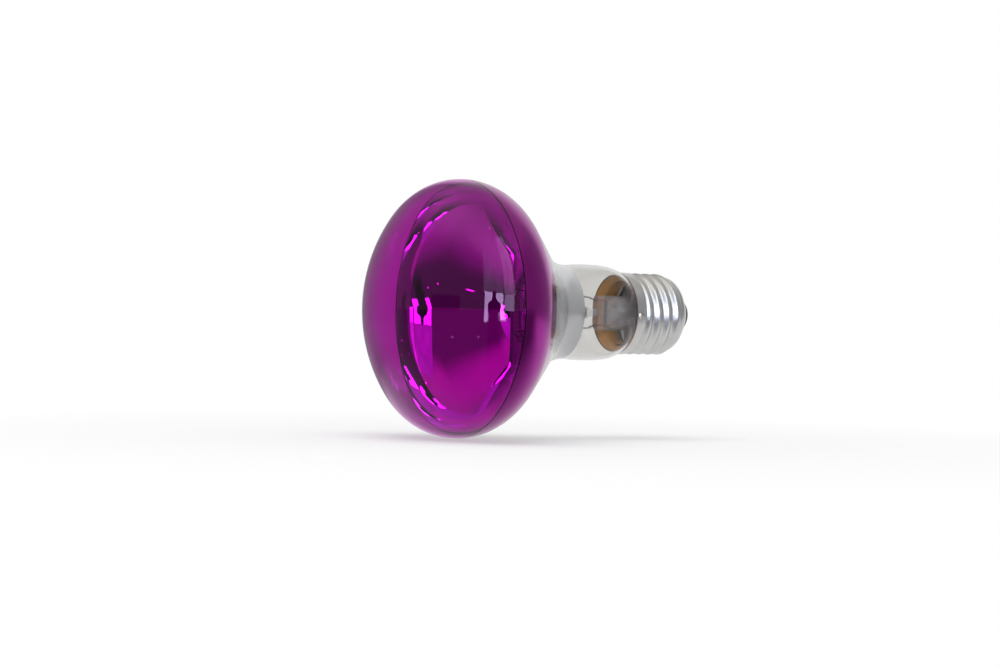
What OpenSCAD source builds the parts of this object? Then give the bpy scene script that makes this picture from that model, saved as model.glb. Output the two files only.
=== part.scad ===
// Reflector bulb with a screw cap: a blown glass envelope, the glass stem with its
// filament inside it, and the aluminium cap that carries both contacts.
// Each module draws along the lamp's own axis, Z, from the tip of the centre contact
// to the top of the dome. lay_down() then turns the lamp so that the tip is the
// origin, the dome looks towards -Y and the cap towards +Y.

/* [Bulb] */
// Diameter at the equator
bulb_d = 80; // [78:0.5:83]
// Length from the tip of the contact to the top of the dome
bulb_l = 112; // [110:0.5:118]
// Wall of the blown glass
glass_t = 0.8; // [0.5:0.05:1]
// Radius of the dome's crown
crown_r = 51.6; // [48:0.2:60]
// Radius of the shoulder between crown and equator
shoulder_r = 17.8; // [14:0.2:20]
// Straight part of the bowl's side, as a share of the way from equator to waist
cone_part = 0.488; // [0.44:0.002:0.52]
// Radius of the hollow throat between bowl and neck
throat_r = 17; // [12:0.5:18]

/* [Neck] */
// Diameter at the waist
waist_d = 29.8; // [29:0.1:30.2]
// Height of the waist above the cap's rim
waist_up = 20.1; // [19.5:0.1:22]
// Diameter at the belly, between waist and cap
belly_d = 30.5; // [30.3:0.1:31]
// Height of the belly above the cap's rim
belly_up = 11.6; // [11:0.1:13]
// Radius of the belly's side below its widest place
belly_r = 60; // [50:1:80]
// Height above the rim where the neck turns in towards the cap
turn_up = 6.1; // [5.8:0.1:7]
// Radius of that turn
turn_r = 14.5; // [13:0.1:16]
// Diameter of the neck's end, where the stem is sealed in
seal_d = 22; // [21.6:0.1:22.2]
// Depth of that end below the rim
seal_down = 7.4; // [6.5:0.1:8]
// Radius of the hollow above the end
heel_r = 1.4; // [1:0.1:1.8]

/* [Stem] */
// Diameter of the stem tube
tube_d = 11; // [10.4:0.1:11.4]
// Wall of the stem tube and its flare
tube_t = 0.9; // [0.7:0.05:1]
// Height of the press's end above the rim
press_up = 7.6; // [7:0.1:8.5]
// Height of the flat part of the press
press_h = 3.7; // [3:0.1:4.5]
// Thickness of the press
press_t = 3.4; // [3.2:0.1:4]
// Height over which the round tube becomes the flat press
pinch_h = 4.3; // [4:0.1:5]
// Depth of the press's root, the tube's blind end, below the flat part
root_down = 1.8; // [1.6:0.1:2]
// Diameter of the exhaust tube
exhaust_d = 3.8; // [3.4:0.1:4]
// Bore of the exhaust tube and of its vent through the press
exhaust_bore = 2.2; // [1.8:0.1:2.4]
// Length of the exhaust tube
exhaust_l = 16.5; // [14:0.5:18]
// Diameter of the glass support rod
rod_d = 2.4; // [2:0.1:2.8]
// Length of the rod up to its button
rod_l = 2.7; // [2:0.1:4]
// Diameter of the button
button_d = 3.9; // [3.5:0.1:4.5]
// Length of the button
button_l = 3.2; // [2.8:0.1:4]

/* [Filament and wires] */
// Height of the filament above the rim
filament_up = 34.1; // [32:0.1:37]
// Diameter of the ring that the filament follows
ring_d = 18; // [15:0.5:20]
// Part of the ring that the filament takes, in degrees
ring_span = 240; // [200:5:260]
// Diameter of the coil, at the middle of its wire
coil_d = 1; // [0.9:0.05:1.3]
// Diameter of the tungsten wire, as a single coil thick enough to see
coil_wire_d = 0.2; // [0.1:0.02:0.24]
// Number of turns of the coil
coil_turns = 44; // [30:1:50]
// Distance between the two leads in the press
lead_gap = 8; // [7.4:0.1:8.4]
// Diameter of the nickel inner leads
lead_d = 0.5; // [0.4:0.05:0.6]
// Diameter of the copper outer leads
outer_d = 0.3; // [0.24:0.02:0.34]
// Diameter of the fuse wire
fuse_d = 0.16; // [0.1:0.02:0.2]
// Length of the fuse wire
fuse_l = 4.8; // [3:0.1:5.5]
// Diameter of the molybdenum supports
support_d = 0.24; // [0.2:0.02:0.3]
// Number of the supports
support_n = 3; // [2:1:4]

/* [Cap] */
// Length of the cap, from the tip of its contact to its rim
cap_l = 26.9; // [26.4:0.1:27.4]
// Wall of the rolled aluminium
cap_t = 0.3; // [0.2:0.02:0.34]
// Pitch of the round thread
thread_pitch = 3.629; // [3.5:0.001:3.8]
// Diameter over the thread's crests
crest_d = 26.2; // [26:0.05:26.5]
// Diameter at the thread's roots
root_d = 24.3; // [24.2:0.05:24.6]
// Radius of the thread's crests and roots
knuckle_r = 1.025; // [0.98:0.005:1.1]
// Distance of a crest below the rim, on the side of the weld
crest_down = 5; // [4.7:0.1:5.3]
// Height over which the thread rises and fades at its ends
run_out = 1.2; // [1:0.1:2]
// Height of the plain skirt
skirt_h = 3; // [2.7:0.1:3.3]
// Height above the contact where the shell turns in
turn_in_z = 9.3; // [9:0.1:9.6]
// Radius of that turn
turn_in_r = 2.8; // [2.6:0.1:3.2]
// Angle of that turn
turn_in_a = 50; // [48:1:56]
// Diameter of the hole in the shell's end
shell_hole_d = 17; // [16:0.1:18]

/* [Contacts] */
// Diameter of the insulator's collar round the contact plate
collar_d = 9.8; // [9.4:0.1:10.4]
// Height of the collar
collar_h = 0.9; // [0.6:0.1:1.2]
// Diameter of the hole in the insulator
insulator_hole_d = 2.4; // [2.2:0.1:3]
// Diameter of the contact plate
plate_d = 9; // [8.4:0.1:9.2]
// Thickness of the contact plate
plate_t = 0.4; // [0.3:0.05:0.6]
// Diameter of the hole in the contact plate
plate_hole_d = 2; // [1.6:0.1:2.2]
// Diameter of the solder on the plate
solder_d = 6; // [5:0.1:7]
// Height of the solder
solder_h = 1.1; // [0.8:0.1:1.4]
// Diameter of the flat land on the solder's tip
land_d = 2.4; // [2:0.1:3]
// Diameter of the weld on the skirt
weld_d = 2.1; // [1.8:0.1:2.2]
// Height of the weld over the skirt
weld_h = 0.35; // [0.2:0.05:0.5]
// Distance of the weld's middle below the rim
weld_down = 1.3; // [1.2:0.05:1.35]
// Angle of the weld round the axis, in degrees
weld_a = -3.3; // [-20:0.1:20]

/* [Hidden] */
$fn = 96;

// Clearance between two pieces that sit on or in each other
seat = 0.02;
// Extra metal on each side where the thread runs into plain sheet
seam = 0.06;
// Length by which the thread reaches into that sheet
lap = 0.4;
// Steps round the thread, rows along one pitch, and sides of a wire
thread_steps = 44;
pitch_rows = 7;
wire_sides = 6;
coil_steps = 8;

bulb_r = bulb_d / 2;
waist_r = waist_d / 2;
belly_max_r = belly_d / 2;
seal_r = seal_d / 2;
tube_r = tube_d / 2;
lead_y = lead_gap / 2;
ring_r = ring_d / 2;
coil_r = coil_d / 2;
crest_r = crest_d / 2;
root_r = root_d / 2;
shell_hole_r = shell_hole_d / 2;
collar_r = collar_d / 2;

rim_z = cap_l;
waist_z = rim_z + waist_up;
belly_z = rim_z + belly_up;
turn_z = rim_z + turn_up;
seal_z = rim_z - seal_down;
press_z = rim_z + press_up;
flat_z = press_z - press_h;
root_z = flat_z - root_down;
pinch_z = flat_z - pinch_h;
filament_z = rim_z + filament_up;
plate_z = solder_h;
collar_z = plate_z + plate_t;
cone_z = collar_z + collar_h;
weld_z = rim_z - weld_down;

// Centres and angles of the arcs in the bulb's outline, each tangent to the next
crown_c = [0, bulb_l - crown_r];
equator_z = crown_c[1] + sqrt(pow(crown_r - shoulder_r, 2) - pow(bulb_r - shoulder_r, 2));
crown_a = atan2(bulb_r - shoulder_r, equator_z - crown_c[1]);
shoulder_c = [bulb_r - shoulder_r, equator_z];
bowl_h = equator_z - waist_z;
throat_in = bulb_r - waist_r - throat_r;
cone_l = cone_part * bowl_h;
bowl_r = (pow(throat_in, 2) + pow(bowl_h, 2) - pow(cone_l, 2) - pow(throat_r, 2))
    / (2 * (throat_r + throat_in));
bowl_c = [bulb_r - bowl_r, equator_z];
throat_c = [waist_r + throat_r, waist_z];
bowl_to_throat = throat_c - bowl_c;
bowl_a = atan2(-bowl_to_throat[1], bowl_to_throat[0])
    - acos((bowl_r + throat_r) / norm(bowl_to_throat));
neck_step = [belly_max_r - waist_r, waist_z - belly_z];
neck_sum_r = (neck_step * neck_step) / (2 * neck_step[0]);
waist_a = asin(neck_step[1] / neck_sum_r);
upper_belly_r = neck_sum_r - throat_r;
turn_a = asin((belly_z - turn_z) / belly_r);
turn_c = [belly_max_r - belly_r + (belly_r - turn_r) * cos(turn_a),
    belly_z - (belly_r - turn_r) * sin(turn_a)];
seal_a = acos((seal_r + heel_r - turn_c[0]) / (turn_r + heel_r));
heel_c = [seal_r + heel_r, turn_c[1] - (turn_r + heel_r) * sin(seal_a)];

// Round thread: angle of its flanks, and depth
thread_depth = crest_r - root_r;
flank_v = [thread_pitch / 2, 2 * knuckle_r - thread_depth];
flank_a = atan2(flank_v[0], flank_v[1]) - acos(2 * knuckle_r / norm(flank_v));
thread_z0 = turn_in_z;
thread_z1 = rim_z - skirt_h;
crest_z = rim_z - crest_down;
skirt_r = crest_r + seam;
skirt_in_r = crest_r - cap_t - seam;
end_r = root_r + seam;
end_t = cap_t + 2 * seam;
turn_in_c = [end_r - turn_in_r, turn_in_z];

// Points of an arc in the outline's plane, from angle a0 to a1
function arc(c, r, a0, a1, n, first = 1) =
    [for (i = [first:n]) let (a = a0 + (a1 - a0) * i / n) c + r * [cos(a), sin(a)]];

// Side of the bulb from the top of the dome to the end of the neck, d inside its skin
function bulb_side(d) = concat(
    arc(crown_c, crown_r - d, 90, 90 - crown_a, 18, 0),
    arc(shoulder_c, shoulder_r - d, 90 - crown_a, 0, 16),
    arc(bowl_c, bowl_r - d, 0, -bowl_a, 14),
    arc(throat_c, throat_r + d, 180 - bowl_a, 180 + waist_a, 14, 0),
    arc([belly_max_r - upper_belly_r, belly_z], upper_belly_r - d, waist_a, 0, 3),
    arc([belly_max_r - belly_r, belly_z], belly_r - d, 0, -turn_a, 3),
    arc(turn_c, turn_r - d, -turn_a, -seal_a, 10),
    arc(heel_c, heel_r + d, 180 - seal_a, 180, 4),
    [[seal_r - d, seal_z]]
);

function reversed(list) = [for (i = [len(list) - 1:-1:0]) list[i]];

// Smooth step from 0 to 1
function eased(t) = let (c = min(1, max(0, t))) c * c * (3 - 2 * c);

// Radius of the thread u above or below a crest, d inside the metal's skin
function knuckle(u, d) =
    let (
        top = knuckle_r - d,
        hollow = knuckle_r + d,
        v = thread_pitch / 2 - u,
        flank_r = crest_r - d - top + top * cos(flank_a)
    )
    u < top * sin(flank_a) ? crest_r - d - top + sqrt(top * top - u * u)
    : v < hollow * sin(flank_a) ? root_r - d + hollow - sqrt(hollow * hollow - v * v)
    : flank_r - (u - top * sin(flank_a)) * tan(flank_a);

// Radius of the shell at height z and angle a: a right-hand thread that rises from the
// plain end and fades into the skirt
function thread_r(z, a, d) =
    let (
        w = z - crest_z - thread_pitch * a / 360,
        u = abs(w - thread_pitch * round(w / thread_pitch)),
        s = (knuckle(u, d) - root_r + d) / thread_depth,
        rise = s * eased((z - thread_z0) / run_out),
        full = 1 - (1 - rise) * eased((thread_z1 - z) / run_out)
    )
    root_r - d + thread_depth * full;

// Half the stem's thickness at height z, from the round tube to the flat press
function half_press(z) = press_t / 2 + (tube_r - press_t / 2) * eased((flat_z - z) / pinch_h);

// A point on the filament's ring, at angle a
function ring(a) = [ring_r * cos(a), ring_r * sin(a), filament_z];

// Direction of a path at its point i, and a normal that is carried along it
function along(p, i) =
    let (v = p[min(i + 1, len(p) - 1)] - p[max(i - 1, 0)]) v / norm(v);
function squared(n, t) = let (v = n - t * (n * t)) v / norm(v);
function normals(p) = [
    for (i = 0, n = squared([0.31, 0.53, 0.79], along(p, 0)); i < len(p);
        i = i + 1, n = squared(n, along(p, min(i, len(p) - 1)))) n
];

// Faces between rings of points: a closed wall, then both ends
function wall_faces(rings, n, base = 0) = [
    for (j = [0:rings - 2], k = [0:n - 1]) let (k1 = (k + 1) % n)
        [base + j * n + k, base + (j + 1) * n + k, base + (j + 1) * n + k1, base + j * n + k1]
];

module lay_down() {
    rotate([90, 0, 0]) children();
}

// A round wire along a path
module wire(path, d, sides = wire_sides) {
    n = normals(path);
    points = [
        for (i = [0:len(path) - 1], k = [0:sides - 1])
            let (a = 360 * k / sides, t = along(path, i))
                path[i] + d / 2 * (cos(a) * n[i] + sin(a) * cross(t, n[i]))
    ];
    last = (len(path) - 1) * sides;
    polyhedron(points, concat(
        wall_faces(len(path), sides),
        [[for (k = [0:sides - 1]) k]],
        [[for (k = [sides - 1:-1:0]) last + k]]
    ), convexity = 6);
}

// One blown piece: dome, bowl and neck
module envelope() {
    color([0.5, 0.12, 0.55, 0.6]) lay_down() rotate_extrude()
        polygon(concat(bulb_side(0), reversed(bulb_side(glass_t))));
}

// Glass tube, flared to meet the neck's end and pressed flat round the leads
module flare_stem() {
    flare_c = [seal_r - glass_t, seal_z + seal_r - glass_t - tube_r];
    flare_r = flare_c[0] - tube_r;
    steps = 12;
    edge = tube_t / 3;
    outer = concat(
        [[seal_r, seal_z - tube_t + edge], [seal_r, seal_z]],
        arc(flare_c, flare_r, -90, -180, 10, 0),
        [[tube_r, press_z - edge], [tube_r - edge, press_z], [0, press_z], [0, seal_z - tube_t]]
    );
    inner = concat(
        arc(flare_c, flare_r + tube_t, -90, -180, 10, 0),
        [[tube_r - tube_t, root_z], [0, root_z], [0, seal_z - 2 * tube_t],
            [flare_c[0], seal_z - 2 * tube_t]]
    );
    color([0.85, 0.88, 0.88, 0.5]) lay_down() difference() {
        intersection() {
            rotate_extrude() polygon(concat([[seal_r - edge, seal_z - tube_t]], outer));
            pressed(0, press_z + 1, steps);
        }
        intersection() {
            rotate_extrude() polygon(inner);
            pressed(tube_t, root_z + 1, steps);
        }
        for (side = [-1, 1]) translate([0, side * lead_y, root_z - 1])
            cylinder(d = lead_d + 2 * seat, h = press_z - root_z + 2, $fn = 32);
        translate([0, 0, root_z - 0.1]) cylinder(d = exhaust_bore, h = 0.1 + exhaust_bore / 2);
        translate([0, 0, root_z + exhaust_bore / 2]) rotate([0, 90, 0])
            cylinder(d = exhaust_bore * 0.7, h = tube_r);
    }
}

// The press's squeezed form, d inside its skin: wide along Y and thin along X
module pressed(d, top, steps) {
    side = [for (i = [0:steps]) let (z = pinch_z + pinch_h * i / steps) [half_press(z) - d, z]];
    wide = 2 * seal_r;
    shape = concat([[wide, seal_z - 3 * tube_t], [wide, pinch_z - tube_t]],
        [for (p = side) if (p[1] < top) p], [[side[steps][0], top]]);
    rotate([90, 0, 0]) translate([0, 0, -wide]) linear_extrude(height = 2 * wide)
        polygon(concat(shape, [for (p = reversed(shape)) [-p[0], p[1]]]));
}

// Tube through which the bulb was pumped, open at the press and melted shut at its tip
module exhaust_tube() {
    r = exhaust_d / 2;
    bore = exhaust_bore / 2;
    z = root_z - exhaust_l;
    color([0.85, 0.88, 0.88, 0.5]) lay_down() rotate_extrude()
        polygon(concat(
            [[bore, root_z - seat], [bore, z + 4], [0, z + 2], [0, z]],
            arc([0, z + r / 3], r / 3, -60, -15, 3, 0),
            [[r, z + 4], [r, root_z - seat]]
        ));
}

// Glass rod on the press, with a button that holds the supports
module support_rod() {
    r = button_d / 2;
    z0 = press_z + rod_l;
    z1 = z0 + button_l;
    round_r = button_l / 2;
    color([0.3, 0.3, 0.32]) lay_down() difference() {
        rotate_extrude() polygon(concat(
            [[0, press_z], [rod_d / 2, press_z], [rod_d / 2, z0 + round_r - round_r * cos(30)]],
            arc([r - round_r, z0 + round_r], round_r, -60, 60, 8, 0),
            [[r - round_r / 2, z1], [0, z1]]
        ));
        for (i = [0:support_n - 1]) rotate([0, 0, support_a(i)])
            translate([rod_d / 2 - 0.2, 0, z1 - 2]) cylinder(d = support_d + 2 * seat, h = 3, $fn = 24);
    }
}

// Wire through the press, of a metal that seals to glass
module seal_wire(side) {
    color([0.55, 0.3, 0.25]) lay_down() translate([0, side * lead_y, root_z - 0.4])
        cylinder(d = lead_d, h = press_z - root_z - 0.2, $fn = 32);
}

// Nickel lead from the press to one end of the filament, crinkled where it leaves the glass
module inner_lead(side) {
    y = side * lead_y;
    z = press_z;
    a = side * ring_span / 2;
    path = concat(
        [[0, y, z - 0.6 + seat], [0, y, z + 0.5], [0.25, y + side * 0.3, z + 1.2],
            [-0.2, y + side * 0.45, z + 2], [0.2, y + side * 0.8, z + 2.8],
            [0, y + side * 0.9, z + 3.8]],
        [ring(a + side * 14) - [0, 0, 3], ring(a + side * 14) - [0, 0, 0.9],
            ring(a + side * 11) - [0, 0, 0.2]],
        [for (b = [7:-4:-5]) ring(a + side * b)]
    );
    color([0.5, 0.5, 0.5]) lay_down() wire(path, lead_d);
}

// Angle of one support round the axis
function support_a(i) = ring_span * ((i + 1) / (support_n + 1) - 1 / 2);

// Molybdenum wires from the button, each with a loop round the coil
module filament_supports() {
    loop_r = coil_r + coil_wire_d / 2 + support_d / 2 + 0.05;
    z1 = press_z + rod_l + button_l;
    foot = rod_d / 2 - 0.2;
    for (i = [0:support_n - 1]) {
        path = concat(
            [[foot, 0, z1 - 2 + seat], [foot, 0, z1 + 1],
                [ring_r, 0, filament_z - loop_r] - [0.4, 0, 1]],
            [for (t = [0:30:330])
                [ring_r + loop_r * sin(t), coil_wire_d * (t / 165 - 1), filament_z - loop_r * cos(t)]]
        );
        color([0.45, 0.45, 0.47]) lay_down() rotate([0, 0, support_a(i)]) wire(path, support_d);
    }
}

// Tungsten coil, bent to a part of a ring
module filament() {
    n = coil_turns * coil_steps;
    path = [for (i = [0:n])
        let (a = ring_span * (i / n - 1 / 2), t = 360 * i / coil_steps)
            ring(a) + coil_r * [cos(t) * cos(a), cos(t) * sin(a), sin(t)]];
    color([0.4, 0.4, 0.42]) lay_down() wire(path, coil_wire_d, 4);
}

// Copper lead from the press, under the neck's end and up to the weld
module side_lead() {
    e = [cos(weld_a), sin(weld_a), 0];
    up = [0, 0, 1];
    low_z = seal_z - tube_t - 1;
    side_r = (seal_r + root_r - cap_t) / 2;
    hook_r = skirt_in_r - 0.5;
    path = [
        [0, -lead_y, root_z - 0.4 - seat], [0, -lead_y, seal_z + 1], [1.2, -lead_y, low_z],
        [5, -lead_y + 0.5, low_z - 0.4], (seal_r - 1.4) * e + (low_z - 0.2) * up,
        (side_r - 0.25) * e + (low_z + 0.4) * up, side_r * e + (seal_z - 0.4) * up,
        side_r * e + (heel_c[1] - 0.3) * up, (hook_r - 0.1) * e + (weld_z - 0.6) * up,
        (hook_r + 0.1) * e + (weld_z - 0.1) * up, (hook_r + 0.3) * e + weld_z * up,
        skirt_r * e + weld_z * up
    ];
    color([0.72, 0.43, 0.3]) lay_down() wire(path, outer_d);
}

fuse_y = lead_y + 0.9;
fuse_z = seal_z - tube_t - 1.8;

// Copper lead from the press to the fuse wire
module contact_lead() {
    color([0.72, 0.43, 0.3]) lay_down() wire([
        [0, lead_y, root_z - 0.4 - seat], [0, lead_y, seal_z + 1], [0, fuse_y - 0.2, fuse_z + 2],
        [0, fuse_y, fuse_z + 0.9], [0, fuse_y, fuse_z]
    ], outer_d);
}

// Thin wire that melts first
module fuse_wire() {
    color([0.7, 0.7, 0.68]) lay_down()
        wire([[0, fuse_y, fuse_z - seat], [0, fuse_y, fuse_z - fuse_l]], fuse_d);
}

// Copper wire from the fuse wire down into the solder
module contact_tail() {
    z = fuse_z - fuse_l - seat;
    color([0.72, 0.43, 0.3]) lay_down() wire([
        [0, fuse_y, z], [0, fuse_y, z - 0.7], [0, fuse_y * 0.75, z - 2.2],
        [0, fuse_y * 0.3, z - 4.2], [0, 0.3, z - 5.2], [0, 0, z - 6], [0, 0, plate_z / 2]
    ], outer_d);
}

// Ring of cement between the neck and the skirt, with a slot for the side lead
module cap_cement() {
    out_r = skirt_in_r - seat;
    low_r = root_r - cap_t - 5 * seat;
    low_z = seal_z + 0.8;
    color([0.5, 0.33, 0.2]) lay_down() difference() {
        rotate_extrude() difference() {
            polygon([[seal_r, low_z], [low_r, low_z], [low_r, thread_z1 - run_out / 4],
                [out_r, thread_z1 + lap + 0.1], [out_r, rim_z - seat], [seal_r, rim_z - seat]]);
            polygon(concat([[0, waist_z]], [for (p = bulb_side(-seat)) if (p[1] < waist_z) p],
                [[0, seal_z]]));
        }
        rotate([0, 0, weld_a]) translate([seal_r - 0.2, -outer_d, low_z - 1])
            cube([crest_r - seal_r, 2 * outer_d, weld_z + outer_d - low_z + 1]);
    }
}

// Rolled aluminium shell: plain skirt, round thread, and an end turned in round the insulator
module cap_shell() {
    rows = ceil((thread_z1 - thread_z0 + 2 * lap) / thread_pitch * pitch_rows);
    z0 = thread_z0 - lap;
    dz = (thread_z1 - thread_z0 + 2 * lap) / rows;
    n = thread_steps;
    skin = function (d) [
        for (j = [0:rows], k = [0:n - 1])
            let (a = 360 * k / n, z = z0 + dz * j, r = thread_r(z, a, d)) [r * cos(a), r * sin(a), z]
    ];
    inside = n * (rows + 1);
    top = n * rows;
    rim = cap_t / 3;
    color([0.78, 0.78, 0.77]) lay_down() difference() {
        union() {
            polyhedron(concat(skin(0), skin(cap_t)), concat(
                wall_faces(rows + 1, n),
                [for (f = wall_faces(rows + 1, n, inside)) reversed(f)],
                [for (k = [0:n - 1]) let (k1 = (k + 1) % n) [k, k1, inside + k1, inside + k]],
                [for (k = [0:n - 1]) let (k1 = (k + 1) % n)
                    [top + k1, top + k, inside + top + k, inside + top + k1]]
            ), convexity = 10);
            rotate_extrude() polygon([[skirt_in_r, thread_z1], [skirt_r, thread_z1],
                [skirt_r, rim_z - rim], [skirt_r - rim, rim_z], [skirt_in_r, rim_z]]);
            rotate_extrude() polygon(concat(
                turned_in(0, shell_hole_r), reversed(turned_in(end_t, shell_hole_r))));
        }
        rotate([0, 0, weld_a]) translate([0, 0, weld_z]) rotate([0, 90, 0])
            cylinder(d = outer_d + 0.1, h = bulb_r, $fn = 24);
    }
}

// Line of the shell's end, d inside its skin, down to the radius of its hole
function turned_in(d, hole_r) =
    let (
        line = arc(turn_in_c, turn_in_r - d, 0, -turn_in_a, 7, 0),
        e = line[len(line) - 1],
        run = (e[0] - hole_r) / sin(turn_in_a)
    )
    concat(line, [[hole_r, e[1] - run * cos(turn_in_a)]]);

// Black glass that fills the shell's end and holds the contact plate
module cap_insulator() {
    hole_r = insulator_hole_d / 2;
    bed = turned_in(end_t + seat, shell_hole_r - seat);
    lip = turned_in(0, shell_hole_r - seat);
    floor_z = cone_z + 3;
    color([0.12, 0.12, 0.13]) lay_down() rotate_extrude()
        polygon(concat(bed, [lip[len(lip) - 1]], [
            [collar_r, cone_z], [collar_r, collar_z], [hole_r, collar_z], [hole_r, floor_z],
            [hole_r + 2.4, floor_z + 0.3], [end_r - end_t - 2.2, turn_in_z]
        ]));
}

// Brass plate on the insulator's collar
module contact_plate() {
    r = plate_d / 2;
    edge = plate_t / 2;
    color([0.7, 0.6, 0.35]) lay_down() rotate_extrude()
        polygon([[plate_hole_d / 2, plate_z], [r - edge, plate_z], [r, plate_z + edge],
            [r, collar_z], [plate_hole_d / 2, collar_z]]);
}

// Solder over the plate's hole, round the end of the contact lead
module contact_solder() {
    r0 = land_d / 2;
    r1 = solder_d / 2;
    plug_r = plate_hole_d / 2 - seat;
    wire_r = outer_d / 2 + seat;
    pocket_z = plate_z / 2 - seat;
    color([0.66, 0.67, 0.68]) lay_down() rotate_extrude()
        polygon(concat([[0, 0]],
            [for (t = [0:10:90]) [r0 + (r1 - r0) * sin(t), plate_z * (1 - cos(t))]],
            [[plug_r, plate_z], [plug_r, collar_z], [wire_r, collar_z], [wire_r, pocket_z],
                [0, pocket_z]]));
}

// Weld that joins the side lead to the skirt
module side_weld() {
    r = weld_d / 2;
    sink = skirt_r - sqrt(pow(skirt_r, 2) - r * r);
    color([0.8, 0.78, 0.72]) lay_down() difference() {
        rotate([0, 0, weld_a]) translate([skirt_r - sink, 0, weld_z]) rotate([0, 90, 0])
            rotate_extrude() polygon(concat([[0, 0]],
                [for (t = [0:15:90]) [r * cos(t), (weld_h + sink) * sin(t)]]));
        cylinder(r = skirt_r + seat, h = rim_z + weld_d, $fn = 720);
    }
}

envelope();
flare_stem();
exhaust_tube();
support_rod();
seal_wire(1);  // seal_wire_upper
seal_wire(-1);  // seal_wire_lower
inner_lead(1);  // inner_lead_upper
inner_lead(-1);  // inner_lead_lower
filament_supports();
filament();
side_lead();
contact_lead();
fuse_wire();
contact_tail();
cap_cement();
cap_shell();
cap_insulator();
contact_plate();
contact_solder();
side_weld();
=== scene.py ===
"""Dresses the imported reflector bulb: lacquered and silvered glass, stem, filament, rolled cap and studio."""
import logging
from dataclasses import dataclass, field
from enum import Enum
from math import acos, asin, atan2, cos, degrees, hypot, pi, radians, sin, sqrt, tan

import bpy
import numpy as np
from mathutils import Matrix, Vector


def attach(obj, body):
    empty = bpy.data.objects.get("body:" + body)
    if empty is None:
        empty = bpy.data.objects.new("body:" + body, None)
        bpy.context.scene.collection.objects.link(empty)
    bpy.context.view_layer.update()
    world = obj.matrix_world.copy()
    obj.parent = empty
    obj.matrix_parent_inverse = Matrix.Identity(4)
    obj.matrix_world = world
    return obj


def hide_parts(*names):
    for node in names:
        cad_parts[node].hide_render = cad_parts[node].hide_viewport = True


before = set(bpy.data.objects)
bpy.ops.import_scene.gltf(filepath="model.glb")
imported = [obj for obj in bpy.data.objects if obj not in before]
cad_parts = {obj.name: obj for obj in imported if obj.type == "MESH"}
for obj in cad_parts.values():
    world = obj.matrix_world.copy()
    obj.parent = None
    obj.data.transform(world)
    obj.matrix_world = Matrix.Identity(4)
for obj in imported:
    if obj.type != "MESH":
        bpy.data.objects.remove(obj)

LOG = logging.getLogger("reflector_bulb")
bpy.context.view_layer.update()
MM = 0.001
MIDDLE = (0.0, -0.06, 0.0)

Array = np.ndarray
Socket = bpy.types.NodeSocket
Pair = tuple[float, float]
Triple = tuple[float, float, float]
Edges = tuple[float, float, float, float]
Colour = Triple


# Shapes: arrays of points in millimetres on the lamp's own axes, Z from contact to dome


def placed(*parts: Array | float) -> Array:
    """Points whose coordinates are the parts, each spread to their common shape."""
    return np.stack(np.broadcast_arrays(*parts), axis=-1)


def laid_down(points: Array) -> Array:
    """Turns the lamp's own axes in mm into the row frame in metres: (x, y, z) goes to (x, -z, y)."""
    return placed(points[..., 0], -points[..., 2], points[..., 1]) * MM


def arc(centre: Pair, radius: float, start: float, end: float, steps: int) -> Array:
    """Points of a circle's arc.

    Each point is the centre plus the radius times (cos a, sin a), for angles a spread evenly.

    Args:
        centre: Centre of the circle, as (r, z).
        radius: Radius of the circle.
        start: First angle, in degrees.
        end: Last angle, in degrees.
        steps: Number of equal steps.

    Returns:
        steps + 1 points, one per row.
    """
    a = np.radians(np.linspace(start, end, steps + 1))
    return np.array(centre) + radius * placed(np.cos(a), np.sin(a))


def eased(t: Array) -> Array:
    """Smooth step: 3 t squared less 2 t cubed, for t held between 0 and 1."""
    c = np.clip(t, 0.0, 1.0)
    return c * c * (3 - 2 * c)


def ripple(points: Array, size: float, seed: int) -> Array:
    """Smooth pseudo-random heights at points, between about -1 and 1.

    The height is the mean of six sine waves, whose directions and phases come from the seed and whose
    wavelengths lie around the size.

    Args:
        points: Points, with x, y and z on the last axis.
        size: Wavelength in the points' unit.
        seed: Seed of the directions and phases.

    Returns:
        One height for each point.
    """
    draw = np.random.default_rng(seed)
    waves = draw.normal(size=(6, 3))
    waves *= (2 * pi / size) * draw.uniform(0.7, 1.5, (6, 1)) / np.linalg.norm(waves, axis=1, keepdims=True)
    return np.sin(points @ waves.T + draw.uniform(0, 2 * pi, 6)).mean(axis=-1) * 1.6


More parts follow.
